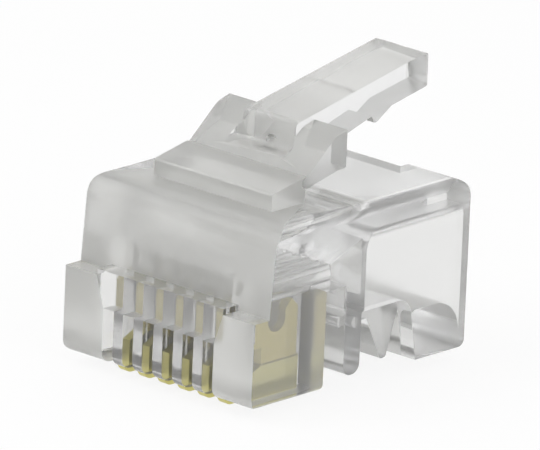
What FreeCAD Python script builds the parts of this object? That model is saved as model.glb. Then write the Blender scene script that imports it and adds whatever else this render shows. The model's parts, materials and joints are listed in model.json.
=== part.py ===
import FreeCAD
import Part
import math
import os

# Six position modular plug in clear polycarbonate, not yet crimped, standing latch up.
# X runs across the plug, Y from its nose to its cable end and Z up, all in millimetres.
# While a piece is made, Y is counted from the front of the contact comb and Z from the
# underside of the body's cable end. Each finished piece is then moved so that the origin
# is the bottom centre of the whole plug.

# Moulded body
body_width = 9.65
body_length = 11.85
body_height = 6.68
overall_length = 13.35
edge_round = 0.45
nose_round = 0.95
rear_round = 0.8
heel_round = 0.3

# Contact comb, the slotted block under the nose
front_wall = 1.0
comb_rear_wall = 0.35
comb_foot = 0.15
end_ledge_height = 3.27
middle_ledge_height = 3.5
ledge_margin = 0.68
comb_toe_round = 0.5
comb_side_round = 0.3
slot_mouth_width = 0.55
slot_mouth_height = 2.04
nose_setback = 0.82
nose_lean = 0.25

# Contacts, which stand proud of the comb until they are crimped
contact_count = 6
contact_pitch = 1.02
contact_thickness = 0.35
contact_depth = 2.55
contact_height = 4.05
contact_proud = 0.45
contact_clearance = 0.025
contact_corner = 0.45
contact_heel = 0.22
contact_head = 1.73
front_notch_height = 0.7
front_notch_depth = 0.5
upper_front_step = 0.12
upper_rear_step = 0.12
prong_gap = 0.95
prong_gap_depth = 1.15
prong_point = 0.35
crimp_travel = 0.9

# Conductor channels behind the nose
channel_diameter = 0.9
channel_lift = 0.05
nose_wall = 0.85

# Gap and cross wall behind the comb
gap_length = 1.1
gap_height = 3.76
cross_wall = 0.9
cross_wall_lift = 0.18
cross_wall_round = 0.4

# Cable cavity, with the windows in its side walls and the sill at its mouth
side_wall = 0.7
roof = 1.18
throat_overhang = 0.5
cavity_round = 0.45
cavity_front_round = 0.8
funnel_floor = 0.45
funnel_roof = 0.3
funnel_side = 0.5
window_length = 3.15
window_height = 2.55
window_round = 0.7
window_lean = 0.45
sill_height = 1.85
sill_front_round = 0.3
sill_lip_round = 1.35
thumb_notch_width = 4.4
thumb_notch_depth = 1.1

# Cable anchor, the wedge that a crimp folds onto the cable jacket
anchor_clearance = 0.07
anchor_seat_clearance = 0.035
anchor_headroom = 0.3
anchor_hinge_offset = 0.05
anchor_plate = 0.38
anchor_wedge_length = 1.75
anchor_sill_gap = 0.25
anchor_tip_lift = 0.1
anchor_tip_width = 0.3
anchor_tip_round = 0.12
anchor_tip_overhang = 0.58

# Latch pad and the living hinge at its rear edge, with heights above the roof
latch_width = 6.02
pad_front = 2.7
pad_length = 1.8
pad_front_rise = 0.67
pad_rear_rise = 1.02
pad_round = 0.12
hinge_clearance = 0.03
knuckle_radius = 0.23
knuckle_offset = 0.1
knuckle_drop = 0.04

# Latch, with places counted back from its hinge and heights above the roof
shoulder_run = 1.5
shoulder_length = 0.65
shoulder_front_rise = 2.25
shoulder_rear_rise = 2.42
shoulder_foot_rise = 0.92
shoulder_foot_length = 0.42
shoulder_round = 1.0
arm_width = 2.65
arm_taper = 0.12
arm_thickness = 1.34
arm_angle = 11.0
arm_start_rise = 2.62
arm_reach = 1.2
arm_front_round = 0.25
arm_end_round = 0.25
arm_corner_round = 0.36
pocket_floor_rise = 1.27
pocket_margin = 0.18
pocket_setback = 0.3
pocket_corner = 0.6
pocket_round = 0.25
gate_radius = 0.28
gate_depth = 0.16
gate_rise = 0.18
bump_start = 3.05
bump_length = 1.15
bump_depth = 0.32
bump_face = 0.15
bump_crest = 0.15

# How far a cutting shape runs past the surface that it opens
beyond = 1.0

# Places that follow from the sizes above
half_width = body_width / 2
contact_front = front_wall + contact_clearance
contact_rear = contact_front + contact_depth
contact_foot = -comb_foot - contact_proud
contact_top = contact_foot + contact_height
comb_depth = contact_rear + contact_clearance + comb_rear_wall
comb_half = contact_pitch * (contact_count - 1) / 2 + ledge_margin
channel_radius = channel_diameter / 2
channel_axis_height = contact_top + channel_lift + channel_radius
gap_rear = comb_depth + gap_length
cross_rear = gap_rear + cross_wall
cavity_front = cross_rear + throat_overhang
cavity_half = half_width - side_wall
cavity_top = body_height - roof
sill_front = cross_rear + window_length
anchor_half = cavity_half - anchor_clearance
anchor_top = window_height - anchor_headroom
anchor_hinge_y = cross_rear + anchor_hinge_offset
anchor_hinge_z = anchor_top - anchor_plate / 2
pad_rear = pad_front + pad_length
hinge_y = pad_rear + knuckle_offset
hinge_z = body_height + pad_rear_rise - knuckle_radius - knuckle_drop
shoulder_front = hinge_y + shoulder_run
shoulder_rear = shoulder_front + shoulder_length
shoulder_front_height = body_height + shoulder_front_rise
shoulder_foot_height = body_height + shoulder_foot_rise
arm_start_height = body_height + arm_start_rise


def vector(x, y, z):
    return FreeCAD.Vector(x, y, z)


def box(x_range, y_range, z_range):
    size = [high - low for low, high in (x_range, y_range, z_range)]
    return Part.makeBox(size[0], size[1], size[2], vector(x_range[0], y_range[0], z_range[0]))


def rounded_face(corners, to_point):
    """Face round a list of (u, v, radius) corners, each radius a tangent arc."""
    arcs = []
    for index, (u, v, radius) in enumerate(corners):
        corner = to_point(u, v)
        if radius == 0:
            arcs.append((corner, corner, None))
            continue
        before = to_point(*corners[index - 1][:2])
        after = to_point(*corners[(index + 1) % len(corners)][:2])
        back = (before - corner).normalize()
        ahead = (after - corner).normalize()
        half_angle = back.getAngle(ahead) / 2
        reach = radius / math.tan(half_angle)
        middle_way = (back + ahead).normalize()
        centre = corner + middle_way * (radius / math.sin(half_angle))
        arcs.append((corner + back * reach, corner + ahead * reach, centre - middle_way * radius))
    edges = []
    for index, (start, end, middle) in enumerate(arcs):
        if middle is not None:
            edges.append(Part.Arc(start, middle, end).toShape())
        next_start = arcs[(index + 1) % len(arcs)][0]
        if end.distanceToPoint(next_start) > 1e-6:
            edges.append(Part.LineSegment(end, next_start).toShape())
    return Part.Face(Part.Wire(edges))


def side_prism(corners, half_span):
    """Side outline of (y, z, radius) corners, run across the plug from -half_span."""
    face = rounded_face(corners, lambda y, z: vector(-half_span, y, z))
    return face.extrude(vector(2 * half_span, 0, 0))


def cross_cylinder(radius, y, z, half_span):
    return Part.makeCylinder(radius, 2 * half_span, vector(-half_span, y, z), vector(1, 0, 0))


def contact_places():
    first = -contact_pitch * (contact_count - 1) / 2
    return [first + contact_pitch * index for index in range(contact_count)]


def fuse_all(shapes):
    return shapes[0].multiFuse(shapes[1:]).removeSplitter()


def body_section(half_span, z_range, lower_round, upper_round, y_range):
    """Upright section with rounded corners, run along the plug."""
    corners = [
        (-half_span, z_range[0], lower_round),
        (half_span, z_range[0], lower_round),
        (half_span, z_range[1], upper_round),
        (-half_span, z_range[1], upper_round),
    ]
    face = rounded_face(corners, lambda x, z: vector(x, y_range[0], z))
    return face.extrude(vector(0, y_range[1] - y_range[0], 0))


def body_block():
    """Nose, roof, side walls and cross wall as one block with rounded upper edges."""
    outline = [
        (nose_setback, end_ledge_height, 0),
        (nose_setback + nose_lean, body_height, nose_round),
        (body_length, body_height, rear_round),
        (body_length, 0, heel_round),
        (sill_front, 0, 0),
        (sill_front - window_lean, window_height, window_round),
        (cross_rear, window_height, 0),
        (cross_rear, cross_wall_lift, cross_wall_round),
        (gap_rear, cross_wall_lift, cross_wall_round),
        (gap_rear, gap_height, 0),
        (comb_depth, gap_height, 0),
        (comb_depth, end_ledge_height, 0),
    ]
    section = body_section(half_width, (0, body_height), 0, edge_round, (0, body_length))
    return side_prism(outline, half_width).common(section)


def comb_block():
    """Solid comb with its raised middle ledge, before the slots are cut."""
    outline = [
        (0, -comb_foot, comb_toe_round),
        (0, end_ledge_height, 0),
        (comb_depth, end_ledge_height, 0),
        (comb_depth, -comb_foot, 0),
    ]
    height = (-comb_foot, end_ledge_height)
    section = body_section(half_width, height, comb_side_round, 0, (0, comb_depth))
    ledge = box((-comb_half, comb_half), (0, comb_depth), (end_ledge_height, middle_ledge_height))
    return [side_prism(outline, half_width).common(section), ledge]


def contact_slots():
    """A mouth through the comb's front wall and a pocket behind it for each contact."""
    pocket_half = contact_thickness / 2 + contact_clearance
    pocket_rear = contact_rear + contact_clearance
    rise = crimp_travel + contact_clearance
    head_top = contact_foot + contact_head + rise
    upper_front = front_wall + upper_front_step
    cuts = []
    for x in contact_places():
        mouth_side = (x - slot_mouth_width / 2, x + slot_mouth_width / 2)
        cuts.append(box(mouth_side, (-beyond, contact_front), (-beyond, slot_mouth_height)))
        pocket_side = (x - pocket_half, x + pocket_half)
        cuts.append(box(pocket_side, (front_wall, pocket_rear), (-beyond, head_top)))
        cuts.append(box(pocket_side, (upper_front, pocket_rear), (-beyond, contact_top + rise)))
    return cuts


def conductor_channels():
    """A round channel over each contact, from the nose wall back to the funnel."""
    front = nose_setback + nose_wall
    cuts = []
    for x in contact_places():
        start = vector(x, front, channel_axis_height)
        cuts.append(Part.makeCylinder(channel_radius, gap_rear - front, start, vector(0, 1, 0)))
    return cuts


def upright_rectangle(y, half_span, z_low, z_high):
    corners = [
        vector(-half_span, y, z_low),
        vector(half_span, y, z_low),
        vector(half_span, y, z_high),
        vector(-half_span, y, z_high),
    ]
    return Part.makePolygon(corners + corners[:1])


def funnel():
    """Tapered throat that leads the conductors from the cavity to their channels."""
    throat_half = contact_pitch * (contact_count - 1) / 2 + channel_radius
    throat = upright_rectangle(
        gap_rear, throat_half,
        channel_axis_height - channel_radius, channel_axis_height + channel_radius)
    mouth = upright_rectangle(
        cavity_front, cavity_half - funnel_side,
        window_height + funnel_floor, cavity_top - funnel_roof)
    return Part.makeLoft([throat, mouth], True)


def cable_cavity():
    """Space for the cable jacket, open to the rear and, over the anchor, to below."""
    rear = body_length + beyond
    outline = [
        (cavity_front, cavity_top, cavity_front_round),
        (rear, cavity_top, 0),
        (rear, -beyond, 0),
        (cross_rear, -beyond, 0),
        (cross_rear, window_height, 0),
        (cavity_front, window_height, 0),
    ]
    section = body_section(cavity_half, (-beyond, cavity_top), 0, cavity_round, (cross_rear, rear))
    return side_prism(outline, cavity_half).common(section)


def cable_sill():
    """Bar across the cavity's mouth, rounded at the rear where the cable bends over it."""
    lip_room = min(sill_height - heel_round, body_length - sill_front - sill_front_round)
    outline = [
        (sill_front, 0, 0),
        (sill_front, sill_height, sill_front_round),
        (body_length, sill_height, min(sill_lip_round, lip_room)),
        (body_length, 0, heel_round),
    ]
    return side_prism(outline, half_width - side_wall / 2)


def thumb_notch():
    half = thumb_notch_width / 2
    rear = body_length + beyond
    front = body_length - thumb_notch_depth
    return box((-half, half), (front, rear), (cavity_top - roof / 2, body_height + beyond))


def latch_pad():
    """Raised root of the latch, with the hollow that its hinge edge turns in."""
    outline = [
        (pad_front, body_height - roof / 2, 0),
        (pad_front, body_height + pad_front_rise, pad_round),
        (pad_rear, body_height + pad_rear_rise, 0),
        (pad_rear, body_height - roof / 2, 0),
    ]
    seat = cross_cylinder(knuckle_radius + hinge_clearance, hinge_y, hinge_z, half_width)
    return side_prism(outline, latch_width / 2).cut(seat)


def anchor_seat():
    radius = anchor_plate / 2 + anchor_seat_clearance
    return cross_cylinder(radius, anchor_hinge_y, anchor_hinge_z, cavity_half)


def make_housing():
    solid = fuse_all([body_block(), latch_pad()] + comb_block())
    cuts = [cable_cavity(), funnel(), anchor_seat(), thumb_notch()]
    solid = solid.cut(cuts + conductor_channels() + contact_slots())
    return fuse_all([solid, cable_sill()])


def arm_point(along, below):
    """Point (y, z) in the arm: along it from the shoulders, and below its top face."""
    angle = math.radians(arm_angle)
    y = shoulder_rear + along * math.cos(angle) + below * math.sin(angle)
    z = arm_start_height + along * math.sin(angle) - below * math.cos(angle)
    return y, z


def arm_front():
    """Where the arm begins between the shoulders, before the pocket is cut."""
    return arm_point(-arm_reach, 0)[0]


def arm_length():
    """Length of the arm that puts its rounded lower end at the overall length."""
    angle = math.radians(arm_angle)
    centre_y = overall_length - arm_end_round
    low = (arm_thickness - arm_end_round) * math.sin(angle)
    return arm_end_round + (centre_y - shoulder_rear - low) / math.cos(angle)


def latch_shoulders():
    """Wedge across the latch, whose upright rear face locks behind the jack's stop."""
    outline = [
        (hinge_y, hinge_z + knuckle_radius, 0),
        (shoulder_front, shoulder_front_height, shoulder_round),
        (shoulder_rear, body_height + shoulder_rear_rise, 0),
        (shoulder_rear, shoulder_foot_height, 0),
        (shoulder_rear - shoulder_foot_length, shoulder_foot_height, 0),
        (hinge_y, hinge_z - knuckle_radius, 0),
    ]
    return side_prism(outline, latch_width / 2)


def latch_arm():
    """Thumb lever behind the shoulders, with the stop bump on its underside."""
    length = arm_length()
    bump_tip = bump_start + bump_face
    outline = [
        arm_point(-arm_reach, 0) + (0,),
        arm_point(length, 0) + (arm_end_round,),
        arm_point(length, arm_thickness) + (arm_end_round,),
        arm_point(bump_start + bump_length, arm_thickness) + (0,),
        arm_point(bump_tip + bump_crest, arm_thickness + bump_depth) + (0,),
        arm_point(bump_tip, arm_thickness + bump_depth) + (0,),
        arm_point(bump_start, arm_thickness) + (0,),
        (shoulder_rear, shoulder_foot_height, 0),
        (shoulder_front, shoulder_foot_height, 0),
    ]
    blade = side_prism(outline, latch_width / 2)
    root_half = arm_width / 2
    end_half = root_half - arm_taper / 2
    plan = [
        (-root_half, arm_front(), 0),
        (root_half, arm_front(), 0),
        (end_half, overall_length, arm_corner_round),
        (-end_half, overall_length, arm_corner_round),
    ]
    face = rounded_face(plan, lambda x, y: vector(x, y, 0))
    return blade.common(face.extrude(vector(0, 0, 2 * arm_start_height)))


def latch_pocket():
    """Pocket in the front slope before the arm's upright face, with the gate mark at its foot."""
    half = arm_width / 2 + pocket_margin
    floor = body_height + pocket_floor_rise
    wall = arm_front() + pocket_setback
    plan = [
        (-half, hinge_y, 0),
        (half, hinge_y, 0),
        (half, wall, pocket_corner),
        (-half, wall, pocket_corner),
    ]
    face = rounded_face(plan, lambda x, y: vector(x, y, floor))
    hollow = face.extrude(vector(0, 0, arm_start_height + beyond - floor))
    foot = [edge for edge in hollow.Edges
            if edge.BoundBox.ZMax < floor + 1e-6 and edge.BoundBox.YMax > hinge_y + 1e-6]
    gate = Part.makeSphere(gate_radius, vector(0, wall + gate_depth - gate_radius, floor + gate_rise))
    return [hollow.makeFillet(pocket_round, foot), gate]


def front_rim(latch):
    """Edges in which the arm's top face ends at the pocket."""
    across = [edge for edge in latch.Edges if edge.BoundBox.XLength > pocket_margin]
    tops = [edge for edge in across if edge.BoundBox.YMax < shoulder_rear]
    return [edge for edge in tops if edge.BoundBox.ZMin > shoulder_front_height]


def make_latch():
    knuckle = cross_cylinder(knuckle_radius, hinge_y, hinge_z, latch_width / 2)
    latch = fuse_all([knuckle, latch_shoulders(), latch_arm()]).cut(latch_pocket())
    return latch.makeFillet(arm_front_round, front_rim(latch))


def make_cable_anchor():
    """Plate with a round hinge edge, and the wedge that hangs under its rear end."""
    bottom = anchor_top - anchor_plate
    wedge_rear = sill_front - anchor_sill_gap
    tip_rear = wedge_rear - anchor_tip_overhang
    outline = [
        (anchor_hinge_y, anchor_top, 0),
        (wedge_rear, anchor_top, 0),
        (wedge_rear, bottom, 0),
        (tip_rear, anchor_tip_lift, anchor_tip_round),
        (tip_rear - anchor_tip_width, anchor_tip_lift, anchor_tip_round),
        (wedge_rear - anchor_wedge_length, bottom, 0),
        (anchor_hinge_y, bottom, 0),
    ]
    knuckle = cross_cylinder(anchor_plate / 2, anchor_hinge_y, anchor_hinge_z, anchor_half)
    return fuse_all([knuckle, side_prism(outline, anchor_half)])


def make_contact(x):
    """Stamped contact: a rounded head below, and two insulation prongs above."""
    rear = contact_depth
    upper_rear = rear - upper_rear_step
    notch_top = contact_head + front_notch_height
    gap_middle = (upper_front_step + upper_rear) / 2
    gap_front = gap_middle - prong_gap / 2
    gap_rear_side = gap_middle + prong_gap / 2
    gap_floor = contact_height - prong_gap_depth
    shank = contact_height - prong_point
    gap_round = prong_gap / 2
    outline = [
        (0, 0, contact_corner),
        (rear, 0, contact_heel),
        (rear, contact_head, 0),
        (upper_rear, contact_head + upper_rear_step, 0),
        (upper_rear, shank, 0),
        ((upper_rear + gap_rear_side) / 2, contact_height, 0),
        (gap_rear_side, shank, 0),
        (gap_rear_side, gap_floor, gap_round),
        (gap_front, gap_floor, gap_round),
        (gap_front, shank, 0),
        ((upper_front_step + gap_front) / 2, contact_height, 0),
        (upper_front_step, shank, 0),
        (upper_front_step, notch_top, 0),
        (front_notch_depth, notch_top, 0),
        (front_notch_depth, contact_head, 0),
        (0, contact_head, 0),
    ]
    left = x - contact_thickness / 2
    face = rounded_face(outline, lambda u, v: vector(left, contact_front + u, contact_foot + v))
    return face.extrude(vector(contact_thickness, 0, 0))


def main():
    nodes = {
        "housing": make_housing(),
        "latch": make_latch(),
        "cable_anchor": make_cable_anchor(),
    }
    for number, x in enumerate(contact_places(), start=1):
        nodes[f"contact_{number}"] = make_contact(x)
    os.makedirs("parts", exist_ok=True)
    for name, shape in nodes.items():
        shape.translate(vector(0, -overall_length / 2, -contact_foot))
        shape.exportStep(f"parts/{name}.step")
        box_size = shape.BoundBox
        print(name, "solids", len(shape.Solids), "valid", shape.isValid(),
              f"volume {shape.Volume:.3f} mm3",
              f"Y {box_size.YMin:.3f} to {box_size.YMax:.3f}",
              f"Z {box_size.ZMin:.3f} to {box_size.ZMax:.3f}")


main()
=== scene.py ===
# %% [markdown]
# # A clear modular plug
# The plug is a small moulding of clear polycarbonate with six gold plated contacts in its nose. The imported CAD
# parts hold every size and every moving joint, so this lesson mostly dresses them: it fetches the frame, puts the
# camera where the photographer stood and then gives each surface its real finish. Lengths are written in
# millimetres and turned to metres where Blender needs them.

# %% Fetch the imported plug
import json
import math

import bmesh
import bpy
from mathutils import Matrix, Vector

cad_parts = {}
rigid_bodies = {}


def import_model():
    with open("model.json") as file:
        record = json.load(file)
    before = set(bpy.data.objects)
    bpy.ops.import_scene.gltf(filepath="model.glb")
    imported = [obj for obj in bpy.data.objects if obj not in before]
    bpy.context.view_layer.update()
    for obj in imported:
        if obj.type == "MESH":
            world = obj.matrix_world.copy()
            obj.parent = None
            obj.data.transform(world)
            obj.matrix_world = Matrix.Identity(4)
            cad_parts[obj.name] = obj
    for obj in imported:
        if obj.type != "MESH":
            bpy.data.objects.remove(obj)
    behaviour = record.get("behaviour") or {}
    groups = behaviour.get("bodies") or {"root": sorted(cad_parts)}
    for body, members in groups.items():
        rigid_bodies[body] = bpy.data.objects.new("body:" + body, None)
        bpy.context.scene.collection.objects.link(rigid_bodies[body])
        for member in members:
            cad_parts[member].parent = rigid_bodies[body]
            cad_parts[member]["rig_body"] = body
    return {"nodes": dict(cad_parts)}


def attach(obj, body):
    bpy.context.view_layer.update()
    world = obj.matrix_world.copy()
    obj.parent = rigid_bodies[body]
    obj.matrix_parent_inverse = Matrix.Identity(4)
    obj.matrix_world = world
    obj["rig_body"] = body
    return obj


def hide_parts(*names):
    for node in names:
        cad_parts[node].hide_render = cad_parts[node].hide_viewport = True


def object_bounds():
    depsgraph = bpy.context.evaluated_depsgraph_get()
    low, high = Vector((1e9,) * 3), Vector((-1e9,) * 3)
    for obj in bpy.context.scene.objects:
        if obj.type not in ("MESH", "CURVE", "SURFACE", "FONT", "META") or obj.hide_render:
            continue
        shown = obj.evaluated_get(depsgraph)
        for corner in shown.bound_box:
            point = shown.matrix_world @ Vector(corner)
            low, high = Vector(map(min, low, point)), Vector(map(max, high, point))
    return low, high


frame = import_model()
cad_low, cad_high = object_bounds()
MM = 0.001
print("nodes", sorted(frame["nodes"]))
print("size in mm", [round(side / MM, 2) for side in cad_high - cad_low])

# %% [markdown]
# ## The camera
# The photograph was taken with a long lens from the front right, a little above the plug, with the camera tipped
# by a few degrees. A "track to" constraint would aim a camera quickly, but it would lose that tip. So the camera's
# three axes are built from its azimuth, elevation and roll, and become the columns of its matrix.

# %% Work out the camera's axes
VIEW_AZIMUTH = math.radians(41.9)
VIEW_ELEVATION = math.radians(17.4)
VIEW_ROLL = math.radians(2.5)


def camera_axes():
    """Right, up and back directions of the camera in the plug's frame."""
    flat = math.cos(VIEW_ELEVATION)
    back = Vector((math.sin(VIEW_AZIMUTH) * flat, -math.cos(VIEW_AZIMUTH) * flat, math.sin(VIEW_ELEVATION)))
    level = Vector((math.cos(VIEW_AZIMUTH), math.sin(VIEW_AZIMUTH), 0))
    upright = back.cross(level)
    right = math.cos(VIEW_ROLL) * level + math.sin(VIEW_ROLL) * upright
    up = math.cos(VIEW_ROLL) * upright - math.sin(VIEW_ROLL) * level
    return right, up, back


right, up, back = camera_axes()
print("camera looks along", [round(value, 3) for value in -back])

# %% [markdown]
# The lens is given in pixels, as it was measured on the picture's 540 pixel width, and turned to the millimetres
# of a 36 mm sensor. Half a metre away, the near and far edges of so small a plug are almost parallel.

# %% Place the camera
IMAGE_WIDTH = 540
FOCAL_PIXELS = 13305
SENSOR_WIDTH = 36.0
VIEW_DISTANCE = 500 * MM
VIEW_SHIFT_RIGHT = 0.745 * MM
VIEW_SHIFT_UP = 1.89 * MM
NOSE_TO_TARGET = 5.0 * MM
FOOT_TO_TARGET = 3.6 * MM

target = Vector((0, cad_low.y + NOSE_TO_TARGET, cad_low.z + FOOT_TO_TARGET))
camera = bpy.data.objects.new("camera", bpy.data.cameras.new("camera"))
camera.data.sensor_width = SENSOR_WIDTH
camera.data.lens = SENSOR_WIDTH * FOCAL_PIXELS / IMAGE_WIDTH
camera.matrix_world = Matrix((right, up, back)).transposed().to_4x4()
camera.location = target + VIEW_DISTANCE * back + VIEW_SHIFT_RIGHT * right + VIEW_SHIFT_UP * up
bpy.context.scene.collection.objects.link(camera)
bpy.context.scene.camera = camera
bpy.context.scene.view_settings.view_transform = "Standard"
print("lens", round(camera.data.lens, 1), "mm")

# %% [markdown]
# ## Helpers for the materials
# Every colour below is an sRGB hex value, as a colour picker shows it, and one function turns it to the linear
# values that Blender's sockets take. Another adds a node, sets its fields and joins its inputs, so that each
# material can be read from top to bottom. Pattern scales start from a real size in millimetres.

# %% Colours and pattern sizes


def linear(hex_colour):
    """Linear RGBA of an sRGB hex colour, by the standard sRGB curve."""
    shares = [int(hex_colour[place:place + 2], 16) / 255 for place in (1, 3, 5)]
    return [s / 12.92 if s <= 0.04045 else ((s + 0.055) / 1.055) ** 2.4 for s in shares] + [1.0]


def per_metre(size_mm):
    """Texture scale whose features are about size_mm wide on Object coordinates."""
    return 1 / (size_mm * MM)


print("mid grey", [round(value, 3) for value in linear("#808080")])

# %% Nodes and materials


def add_node(tree, kind, fields=None, inputs=None):
    """A new node with its fields set, and with each input given a value or joined to a socket."""
    node = tree.nodes.new(kind)
    for name, value in (fields or {}).items():
        setattr(node, name, value)
    for name, value in (inputs or {}).items():
        if isinstance(value, bpy.types.NodeSocket):
            tree.links.new(value, node.inputs[name])
        else:
            node.inputs[name].default_value = value
    return node


def new_material(name):
    """An empty node material and its tree."""
    material = bpy.data.materials.new(name)
    material.use_nodes = True
    material.node_tree.nodes.clear()
    return material, material.node_tree


print("materials so far", len(bpy.data.materials))

# %% [markdown]
# ## Clear polycarbonate
# The body, latch and cable anchor are injection moulded polycarbonate. It refracts strongly, and its surface
# copies the steel of the mould. Polished steel leaves a clear wall with slow waves, stoned steel a thin mist, and
# spark cut steel a satin grain that blurs what lies behind. A glass shader alone would be too clear: thick
# polycarbonate has a little haze, which is the part of the Principled shader that isn't transmission.
# The grey of the satin skin's haze is painted shade, while its blur comes from the grain.

# %% Make the three skins of the polycarbonate
POLYCARBONATE_IOR = 1.585
FLOW_STREAK_MM = 1.6
STREAK_DETAIL = 4.0
STREAK_LOW, STREAK_HIGH = 0.35, 0.7
SKIN_WAVE_MM = 0.9
WAVE_DETAIL = 2.0
WAVE_STRENGTH = 0.3


def polycarbonate(name, tint, clarity, smoothest, roughest, wave_mm):
    """Moulded clear plastic, with flow streaks in its gloss and slow waves in its skin."""
    material, tree = new_material(name)
    place = add_node(tree, "ShaderNodeTexCoord").outputs["Object"]
    streaks = add_node(tree, "ShaderNodeTexNoise", inputs={
        "Vector": place, "Scale": per_metre(FLOW_STREAK_MM), "Detail": STREAK_DETAIL})
    gloss = add_node(tree, "ShaderNodeMapRange", inputs={
        "Value": streaks.outputs["Fac"], "From Min": STREAK_LOW, "From Max": STREAK_HIGH,
        "To Min": smoothest, "To Max": roughest})
    waves = add_node(tree, "ShaderNodeTexNoise", inputs={
        "Vector": place, "Scale": per_metre(SKIN_WAVE_MM), "Detail": WAVE_DETAIL})
    skin = add_node(tree, "ShaderNodeBump", inputs={
        "Height": waves.outputs["Fac"], "Strength": WAVE_STRENGTH, "Distance": wave_mm * MM})
    shader = add_node(tree, "ShaderNodeBsdfPrincipled", inputs={
        "Base Color": linear(tint), "Roughness": gloss.outputs["Result"], "IOR": POLYCARBONATE_IOR,
        "Transmission Weight": clarity, "Normal": skin.outputs["Normal"]})
    add_node(tree, "ShaderNodeOutputMaterial", inputs={"Surface": shader.outputs["BSDF"]})
    return material


# Polished steel gives a clear wall with sharp inner reflections.
polished = polycarbonate("polished clear polycarbonate", "#F9F9F9", clarity=0.88,
                         smoothest=0.04, roughest=0.1, wave_mm=0.001)
# Spark cut steel gives a satin wall that hides what lies behind it. Its grey tint is painted shade.
satin_and_painted_shade = polycarbonate("satin clear polycarbonate", "#E0E0DD", clarity=0.6,
                      smoothest=0.34, roughest=0.46, wave_mm=0.002)
# Stoned steel gives a light mist that softens the edges behind it.
misted = polycarbonate("misted clear polycarbonate", "#F6F6F4", clarity=0.75,
                       smoothest=0.16, roughest=0.24, wave_mm=0.001)
print("made", [material.name for material in (polished, satin_and_painted_shade, misted)])

# %% [markdown]
# ## Gold plate
# The contacts are stamped from copper alloy strip and plated with nickel and then, on the head that meets the
# jack, with a thicker layer of gold. The rolling of the strip leaves fine lines along each blade, so the noise is
# stretched along it before it drives the gloss. The photograph shows a dark line across the blade, which is taken
# for the edge of the thick plating, and a soft step in height draws it.

# %% Make the gold plate
# Real rolling lines are about a tenth as wide, and are drawn this coarse so that they show.
ROLLING_LINE_MM = 0.15
ROLLING_STRETCH = 0.08
LINE_DETAIL = 2.0
LINE_LOW, LINE_HIGH = 0.3, 0.7
GOLD_SMOOTHEST, GOLD_ROUGHEST = 0.3, 0.36
HEAD_GOLD, BLADE_GOLD = "#CDC67E", "#C4B76C"
PLATING_TOP = cad_low.z + 1.75 * MM
PLATING_FADE = 0.05 * MM
# Far higher than real plating, and with the blade as the higher side, because it only has to draw the line.
PLATING_STEP = 0.06 * MM


def gold_plate():
    """Gold over rolled strip, which gives the eye a soft yellow sheen, a little paler on the head."""
    material, tree = new_material("gold plated stamped contact")
    place = add_node(tree, "ShaderNodeTexCoord").outputs["Object"]
    along = add_node(tree, "ShaderNodeMapping", inputs={"Vector": place, "Scale": (1, 1, ROLLING_STRETCH)})
    lines = add_node(tree, "ShaderNodeTexNoise", inputs={
        "Vector": along.outputs["Vector"], "Scale": per_metre(ROLLING_LINE_MM), "Detail": LINE_DETAIL})
    gloss = add_node(tree, "ShaderNodeMapRange", inputs={
        "Value": lines.outputs["Fac"], "From Min": LINE_LOW, "From Max": LINE_HIGH,
        "To Min": GOLD_SMOOTHEST, "To Max": GOLD_ROUGHEST})
    height = add_node(tree, "ShaderNodeSeparateXYZ", inputs={"Vector": place}).outputs["Z"]
    above = add_node(tree, "ShaderNodeMapRange", {"interpolation_type": "SMOOTHSTEP"}, {
        "Value": height, "From Min": PLATING_TOP - PLATING_FADE, "From Max": PLATING_TOP + PLATING_FADE})
    tone = add_node(tree, "ShaderNodeMix", {"data_type": "RGBA"}, {
        "Factor": above.outputs["Result"], "A": linear(HEAD_GOLD), "B": linear(BLADE_GOLD)})
    relief = add_node(tree, "ShaderNodeBump", inputs={
        "Height": above.outputs["Result"], "Strength": 1.0, "Distance": PLATING_STEP})
    shader = add_node(tree, "ShaderNodeBsdfPrincipled", inputs={
        "Base Color": tone.outputs["Result"], "Metallic": 1.0, "Roughness": gloss.outputs["Result"],
        "Normal": relief.outputs["Normal"]})
    add_node(tree, "ShaderNodeOutputMaterial", inputs={"Surface": shader.outputs["BSDF"]})
    return material


gold = gold_plate()
print("made", gold.name)

# %% [markdown]
# ## Which edges are round
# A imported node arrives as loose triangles, so a curved face would show its facets, and in clear plastic each facet
# is a little prism. Shading everything smooth would bend the flat walls too. So each merged copy first measures
# its flat patches: an edge is soft where it turns only a little, or where it borders a strip so narrow that it
# must belong to a round.

# %% Measure the flat patches
FLAT_ANGLE = math.radians(1)


def flat_patches(work):
    """Group the faces that lie in one plane, and give each face the width of its patch."""
    width_of = {}
    for start in work.faces:
        if start in width_of:
            continue
        patch, waiting = {start}, [start]
        area, rim = 0.0, 0.0
        while waiting:
            face = waiting.pop()
            area += face.calc_area()
            for edge in face.edges:
                beyond = [other for other in edge.link_faces if other is not face]
                if beyond and edge.calc_face_angle(math.pi) < FLAT_ANGLE:
                    if beyond[0] not in patch:
                        patch.add(beyond[0])
                        waiting.append(beyond[0])
                else:
                    rim += edge.calc_length()
        for face in patch:
            width_of[face] = 2 * area / rim
    return width_of


print("faces within", round(math.degrees(FLAT_ANGLE)), "degree are one patch")

# %% Choose the soft edges
SOFT_ANGLE = math.radians(26)
ROUND_ANGLE = math.radians(52)
NARROW_STRIP = 0.2 * MM


def is_soft(edge, width_of):
    """True where the edge lies within a rounded stretch and not between two broad faces."""
    angle = edge.calc_face_angle(math.pi)
    narrow = any(width_of[face] < NARROW_STRIP for face in edge.link_faces)
    return angle < SOFT_ANGLE or (narrow and angle < ROUND_ANGLE)


print("a strip is narrow under", NARROW_STRIP / MM, "mm")
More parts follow.
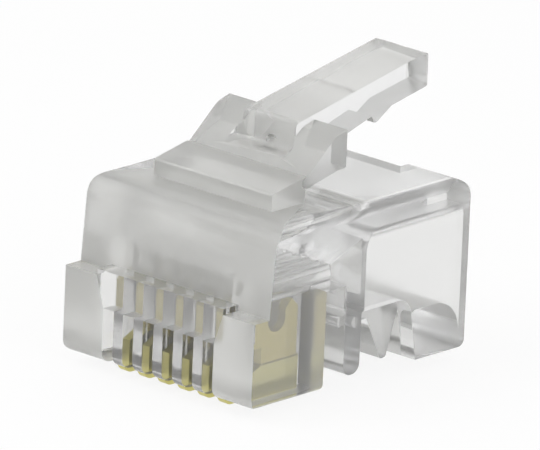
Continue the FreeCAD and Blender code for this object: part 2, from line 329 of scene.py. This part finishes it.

# %% [markdown]
# ## Where the mould was grained, and where grey shade is painted
# The satin grain is on the nose, the fronts of the comb's end walls, the pad, the comb's underside, the upper side
# of the sill and the lower side and end of the lever, and its grey tint paints shade onto these faces. A mist lies
# where steel cores slid out of the plastic: in the channels, in the cable cavity and on the body's faces that look
# to the rear. The ledge over the comb, the top of the latch and the ends of the cable anchor have it too, and the
# rest is polished. A painted mask would need a UV map, while the direction and place of each face already tell the
# three skins apart.

# %% Name the directions and the places
# The satin skin's faces also carry its painted grey shade.
POLISHED, SATIN_AND_PAINTED_SHADE, MISTED = 0, 1, 2
# Shares of a face's normal along one axis, past which it counts as facing that way.
FACING_UP = 0.25
FACING_FRONT = -0.6
FACING_DOWN = -0.9
FACING_REAR = 0.9
FACING_SIDE = 0.9
# Depths are counted from the comb's front, heights from the contacts' feet and half widths from the middle.
COMB_HALF = 3.1 * MM
COMB_DEPTH = cad_low.y + 4.0 * MM
NOSE_DEPTH = cad_low.y + 1.4 * MM
NOSE_LOW = cad_low.z + 4.05 * MM
ROOF_LOW = cad_low.z + 6.2 * MM
PAD_LOW = cad_low.z + 7.33 * MM
PAD_DEPTH = cad_low.y + 4.6 * MM
CHANNEL_LOW = cad_low.z + 4.0 * MM
CHANNEL_HIGH = cad_low.z + 5.1 * MM
CAVITY_HALF = 4.2 * MM
CAVITY_FRONT = cad_low.y + 5.5 * MM
CAVITY_TOP = cad_low.z + 7.2 * MM
SILL_FRONT = cad_low.y + 9.0 * MM
SILL_TOP = cad_low.z + 2.6 * MM
print("the nose is satin from", round(NOSE_LOW / MM, 2), "mm up")

# %% Choose a skin for each face of the body


def is_satin_and_painted_shade(normal, centre):
    """True on the satin faces, which also get painted grey shade: the nose, the end walls' fronts, the pad, the
    comb's underside and the upper side of the sill.
    """
    front = normal.y < FACING_FRONT and (centre.y < NOSE_DEPTH or centre.z > ROOF_LOW)
    bar = abs(centre.x) < COMB_HALF and centre.z < NOSE_LOW
    brow = normal.z > FACING_UP and centre.z > ROOF_LOW and centre.y < PAD_DEPTH
    foot = normal.z < FACING_DOWN and centre.y < COMB_DEPTH
    rear_floor = abs(centre.x) < CAVITY_HALF and centre.y > SILL_FRONT and centre.z < SILL_TOP
    sill = rear_floor and normal.z > FACING_UP
    return front and not bar or brow or centre.z > PAD_LOW or foot or sill


def is_misted(normal, centre):
    """True on the ledge, the channels, the cavity's walls and the faces that look to the rear."""
    ledge = normal.z > FACING_UP and centre.y < NOSE_DEPTH
    channel = abs(centre.x) < COMB_HALF and CHANNEL_LOW < centre.z < CHANNEL_HIGH
    cavity = abs(centre.x) < CAVITY_HALF and centre.y > CAVITY_FRONT and centre.z < CAVITY_TOP
    return ledge or channel or cavity or normal.y > FACING_REAR


def body_skin(face):
    """Satin comes first, then mist, and what is neither is polished."""
    centre = face.calc_center_median()
    if is_satin_and_painted_shade(face.normal, centre):
        return SATIN_AND_PAINTED_SHADE
    return MISTED if is_misted(face.normal, centre) else POLISHED


print("skins of the body", {"polished": POLISHED, "satin_and_painted_shade": SATIN_AND_PAINTED_SHADE, "misted": MISTED})

# %% Choose a skin for the other pieces


def latch_skin(face):
    """Satin with painted grey shade on the lower side and end of the latch, polish on its two sides, and mist on the
    rest.
    """
    if face.normal.z < -FACING_UP or face.normal.y > FACING_REAR:
        return SATIN_AND_PAINTED_SHADE
    return POLISHED if abs(face.normal.x) > FACING_SIDE else MISTED


def anchor_skin(face):
    """Mist on the two ends of the cable anchor, and polish between them."""
    return MISTED if abs(face.normal.x) > FACING_SIDE else POLISHED


def plain_skin(face):
    """The first material all over, for a piece that has only one."""
    return 0


print("the anchor's ends face sideways by", FACING_SIDE, "or more")

# %% [markdown]
# ## The contacts' heads
# In the photograph the heads stand so far forward that gold fills each mouth of the comb. A cap could be added in
# front of each head, but a stamped contact is one piece. So the front corners of its copy are moved forward, which
# keeps the mesh closed. The head's upper edge slopes down, and so passes under the comb's front wall in a crimp.

# %% Draw the heads forward
HEAD_FRONT = cad_low.y + 1.5 * MM
HEAD_TOP = cad_low.z + 1.75 * MM
HEAD_CORNER = cad_low.z + 1.7 * MM
HEAD_REACH = 0.25 * MM
HEAD_SLOPE = 0.35 * MM


def reach_forward(work):
    """Move a head's front edge forward, and the corner at its top down."""
    for vertex in work.verts:
        if vertex.co.z < HEAD_TOP and vertex.co.y < HEAD_FRONT:
            vertex.co.y -= HEAD_REACH
            if vertex.co.z > HEAD_CORNER:
                vertex.co.z -= HEAD_SLOPE


print("the heads reach", HEAD_REACH / MM, "mm forward")

# %% [markdown]
# ## Dress the CAD parts
# Each node gets a copy with its corners merged and its soft edges smoothed, which stands for the node and rides on
# the same body. A Weighted Normal modifier lets the broad faces lead the shading, so that they stay flat beside
# their rounds.

# %% Merge and smooth a node's mesh
MERGE = 0.0005 * MM


def merged_mesh(source, materials, skin_of, reshape):
    """A copy of the node's mesh in one piece, with soft edges marked and a material on each face."""
    mesh = source.data.copy()
    mesh.materials.clear()
    for material in materials:
        mesh.materials.append(material)
    work = bmesh.new()
    work.from_mesh(mesh)
    bmesh.ops.remove_doubles(work, verts=work.verts, dist=MERGE)
    if reshape:
        reshape(work)
        work.normal_update()
    width_of = flat_patches(work)
    for edge in work.edges:
        edge.smooth = is_soft(edge, width_of)
    for face in work.faces:
        face.smooth = True
        face.material_index = skin_of(face)
    work.to_mesh(mesh)
    work.free()
    return mesh


print("corners merge within", MERGE / MM, "mm")

# %% Make a dressed copy
FLAT_FACE_WEIGHT = 100


def dressed_copy(node_name, materials, skin_of, reshape=None):
    """A finished piece that stands for the node and moves with its body."""
    source = frame["nodes"][node_name]
    piece = bpy.data.objects.new(f"{node_name}_skin", merged_mesh(source, materials, skin_of, reshape))
    bpy.context.scene.collection.objects.link(piece)
    normals = piece.modifiers.new("flat faces stay flat", "WEIGHTED_NORMAL")
    normals.weight = FLAT_FACE_WEIGHT
    normals.keep_sharp = True
    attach(piece, source["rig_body"])
    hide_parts(node_name)
    print("dressed", piece.name, "with", len(piece.data.polygons), "faces")


print("flat faces lead the shading with a weight of", FLAT_FACE_WEIGHT)

# %% Dress the moulding and the contacts
skins = [polished, satin_and_painted_shade, misted]
dressed_copy("housing", skins, body_skin)
dressed_copy("latch", skins, latch_skin)
dressed_copy("cable_anchor", skins, anchor_skin)
contacts = [name for name in sorted(frame["nodes"]) if name.startswith("contact")]
for name in contacts:
    dressed_copy(name, [gold], plain_skin, reach_forward)
print("dressed", len(frame["nodes"]), "nodes,", len(contacts), "of them contacts")

# %% [markdown]
# ## The white table
# The ground of the photograph is pure white. A white paint alone would turn grey in the lamps' light, so to the
# camera, and to rays that pass through or glance off the plug, most of the table glows at a strength of one. The
# rest stays paint, which keeps the plug's shadow.

# %% Mix the table's white
GLOW_SHARE = 0.88


def glow_share(tree):
    """Share of the glow for the rays that look at the table, and none for the light that it gives."""
    path = add_node(tree, "ShaderNodeLightPath")
    through = add_node(tree, "ShaderNodeMath", {"operation": "MAXIMUM"}, {
        0: path.outputs["Is Camera Ray"], 1: path.outputs["Is Transmission Ray"]})
    seen = add_node(tree, "ShaderNodeMath", {"operation": "MAXIMUM"}, {
        0: through.outputs[0], 1: path.outputs["Is Glossy Ray"]})
    return add_node(tree, "ShaderNodeMath", {"operation": "MULTIPLY"}, {0: seen.outputs[0], 1: GLOW_SHARE})


def table_paint():
    """Matt white paint that glows to whatever looks at it, and so gives an even white ground."""
    material, tree = new_material("white table")
    paint = add_node(tree, "ShaderNodeBsdfDiffuse", inputs={"Color": linear("#FAFAFA")})
    glow = add_node(tree, "ShaderNodeEmission", inputs={"Color": linear("#FFFFFF"), "Strength": 1.0})
    mixed = add_node(tree, "ShaderNodeMixShader", inputs={
        0: glow_share(tree).outputs[0], 1: paint.outputs["BSDF"], 2: glow.outputs["Emission"]})
    add_node(tree, "ShaderNodeOutputMaterial", inputs={"Surface": mixed.outputs["Shader"]})
    return material


table_white = table_paint()
print("made", table_white.name)

# %% Lay the table
TABLE_SIZE = 400 * MM
TABLE_GAP = 0.005 * MM

# A hair below the plug, so that the contacts' feet and the table don't share one plane.
floor_z = cad_low.z - TABLE_GAP
half = TABLE_SIZE / 2
corners = [(x, y, floor_z) for x, y in ((-half, -half), (half, -half), (half, half), (-half, half))]
sheet = bpy.data.meshes.new("table")
sheet.from_pydata(corners, [], [(0, 1, 2, 3)])
sheet.materials.append(table_white)
table = bpy.data.objects.new("table", sheet)
bpy.context.scene.collection.objects.link(table)
print("table at", round(floor_z / MM, 3), "mm")

# %% [markdown]
# ## The white studio
# Clear plastic shows what stands round it. White card all round would leave it without edges, and a dark room
# would turn its inner reflections black. A studio lies between: white near the table, and greyer higher up.

# %% Hang the studio walls
ROOM_LIGHT = 0.75
WALL_LEVEL = 1.0
CEILING_LEVEL = 0.9
# The height of a direction in the room, from 0 at the horizon to 1 straight up.
CEILING_HEIGHT = 0.4


def white_studio():
    """A white room for what looks at it, and a plain level of light for everything else."""
    world = bpy.data.worlds.new("white studio")
    world.use_nodes = True
    tree = world.node_tree
    tree.nodes.clear()
    direction = add_node(tree, "ShaderNodeTexCoord").outputs["Generated"]
    height = add_node(tree, "ShaderNodeSeparateXYZ", inputs={"Vector": direction}).outputs["Z"]
    room = add_node(tree, "ShaderNodeMapRange", inputs={
        "Value": height, "From Min": 0.0, "From Max": CEILING_HEIGHT,
        "To Min": WALL_LEVEL, "To Max": CEILING_LEVEL})
    path = add_node(tree, "ShaderNodeLightPath")
    looks = add_node(tree, "ShaderNodeMath", {"operation": "MAXIMUM"}, {
        0: path.outputs["Is Glossy Ray"], 1: path.outputs["Is Transmission Ray"]})
    ambient = add_node(tree, "ShaderNodeMix", {"data_type": "FLOAT"}, {
        "Factor": looks.outputs[0], "A": ROOM_LIGHT, "B": room.outputs["Result"]})
    level = add_node(tree, "ShaderNodeMix", {"data_type": "FLOAT"}, {
        "Factor": path.outputs["Is Camera Ray"], "A": ambient.outputs["Result"], "B": 1.0})
    sky = add_node(tree, "ShaderNodeBackground", inputs={
        "Color": linear("#FFFFFF"), "Strength": level.outputs["Result"]})
    add_node(tree, "ShaderNodeOutputWorld", inputs={"Surface": sky.outputs["Background"]})
    return world


bpy.context.scene.world = white_studio()
print("studio", bpy.context.scene.world.name)

# %% [markdown]
# ## Two soft boxes
# A large soft box at the upper left front is the key light, and a smaller one at the right fills the side wall.
# Area lamps are used because their size sets how soft the shadow under the contacts is.

# %% Set the lamps


def soft_box(name, place_mm, side_mm, watts):
    """A square area lamp that faces the plug."""
    lamp = bpy.data.lights.new(name, "AREA")
    lamp.shape = "SQUARE"
    lamp.size = side_mm * MM
    lamp.energy = watts
    holder = bpy.data.objects.new(name, lamp)
    bpy.context.scene.collection.objects.link(holder)
    holder.location = Vector(place_mm) * MM
    holder.rotation_euler = (target - holder.location).to_track_quat("-Z", "Y").to_euler()
    return holder


key = soft_box("key softbox", place_mm=(-60, -90, 140), side_mm=110, watts=0.08)
fill = soft_box("fill softbox", place_mm=(130, -30, 90), side_mm=80, watts=0.03)
print("lamps", key.name, "and", fill.name)
